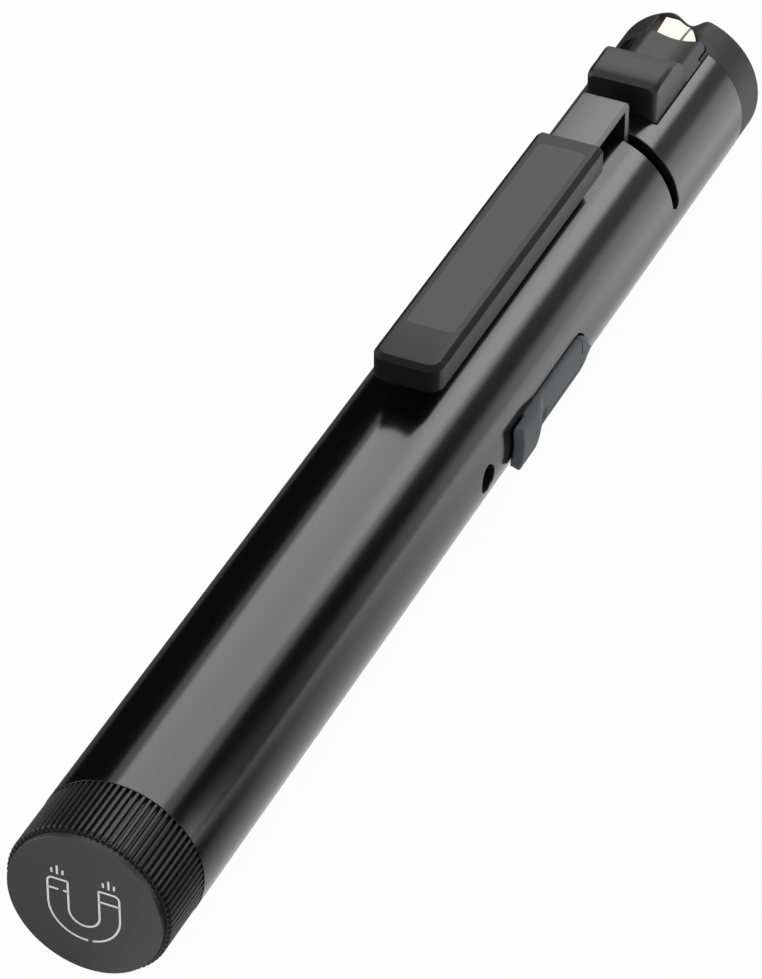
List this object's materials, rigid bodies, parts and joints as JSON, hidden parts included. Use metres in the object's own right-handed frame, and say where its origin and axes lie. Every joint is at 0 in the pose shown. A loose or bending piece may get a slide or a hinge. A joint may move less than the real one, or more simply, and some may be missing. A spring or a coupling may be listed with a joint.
{
  "type": "uv flashlight",
  "caption": "Pen-size black UV flashlight with a swivel pocket clip, thumb button, lit side window, covered charging port and a magnetic ribbed tail cap.",
  "frame": {"origin": "centre of the flat tail face", "axes": "+Y along the torch from the tail face to the lens, +Z through the pocket clip, +X to the side of the charging port"},
  "size_m": [0.0172, 0.1398, 0.0206],
  "materials": {
    "anodised_black": "satin black anodised",
    "face_plastic": "matte",
    "nickel": "nickel plated",
    "seal_rubber": "matte",
    "steel": "bare",
    "cell": "shrink-wrapped cell",
    "sleeve_plastic": "thin film",
    "circuit_board": "solder mask",
    "black_plastic": "smoked",
    "cover_rubber": "matte",
    "bare_aluminium": "turned",
    "spring_steel": "satin",
    "pad_plastic": "fine texture",
    "inlay_plastic": "fine texture",
    "charcoal_plastic": "fine texture",
    "white_board": "white solder mask",
    "lit_window": "glowing phosphor",
    "led_body": "clear dome on ceramic",
    "reflector_mirror": "metallised",
    "lens_glass": "clear",
    "red_wire": "insulated wire",
    "black_wire": "insulated wire"
  },
  "bodies": {
    "torch_body": {"barrel": "anodised_black", "head_bezel": "charcoal_plastic", "front_lens": "lens_glass", "lens_gasket": "seal_rubber", "reflector": "reflector_mirror", "uv_led": "led_body", "uv_led_board": "white_board", "head_heatsink": "bare_aluminium", "side_led_board": "white_board", "side_light_window": "lit_window", "driver_board": "circuit_board", "driver_screw_1": "steel", "driver_screw_2": "steel", "tact_switch": "black_plastic", "clip_core": "bare_aluminium", "clip_circlip": "steel", "charger_board": "circuit_board", "usb_receptacle": "steel", "charge_light_pipe": "black_plastic", "port_cover_anchor": "cover_rubber", "battery_cell": "cell", "battery_sleeve": "sleeve_plastic", "battery_contact": "circuit_board", "lead_positive": "red_wire", "lead_negative": "black_wire"},
    "clip_swivel_ring": {"clip_ring": "steel"},
    "clip": {"clip_leaf": "spring_steel", "clip_pad": "pad_plastic", "clip_pad_inlay": "inlay_plastic"},
    "button": {"button_tongue": "charcoal_plastic"},
    "plunger": {"switch_plunger": "white_board"},
    "port_flap": {"port_cover_flap": "cover_rubber"},
    "tail_carrier": {"tail_contact": "nickel", "tail_spring": "steel"},
    "tail": {"tail_cap": "anodised_black", "tail_face_plate": "face_plastic", "tail_magnet": "nickel", "tail_o_ring": "seal_rubber"}
  },
  "joints": [
    {"name": "clip_swivel", "type": "hinge", "parent": "torch_body", "child": "clip_swivel_ring", "pos_m": [0, 0.1165, 0], "axis": [0, 1, 0], "range_deg": [-64, 64]},
    {"name": "clip_flex", "type": "hinge", "parent": "clip_swivel_ring", "child": "clip", "pos_m": [0, 0.1165, 0.0063], "axis": [-1, 0, 0], "range_deg": [0, 3], "stiffness_Nm_per_rad": 3},
    {"name": "button_press", "type": "hinge", "parent": "torch_body", "child": "button", "pos_m": [0, 0.1347, 0.0063], "axis": [1, 0, 0], "range_deg": [0, 2.5], "stiffness_Nm_per_rad": 0.5},
    {"name": "plunger_travel", "type": "slide", "parent": "torch_body", "child": "plunger", "axis": [0, 0, -1], "range_m": [0, 0.0005]},
    {"name": "port_cover", "type": "hinge", "parent": "torch_body", "child": "port_flap", "pos_m": [0.00852, 0.0908, -0.00067], "axis": [0.0785, 0, 0.9969], "range_deg": [0, 100]},
    {"name": "tail_travel", "type": "slide", "parent": "torch_body", "child": "tail_carrier", "axis": [0, -1, 0], "range_m": [0, 0.00401]},
    {"name": "tail_turn", "type": "hinge", "parent": "tail_carrier", "child": "tail", "pos_m": [0, 0.004, 0], "axis": [0, -1, 0], "range_deg": [0, 1440]}
  ],
  "couplings": [
    {"joint": "plunger_travel", "follows": "button_press", "m_per_rad": 0.0107},
    {"joint": "tail_travel", "follows": "tail_turn", "m_per_rad": 0.00015915}
  ]
}
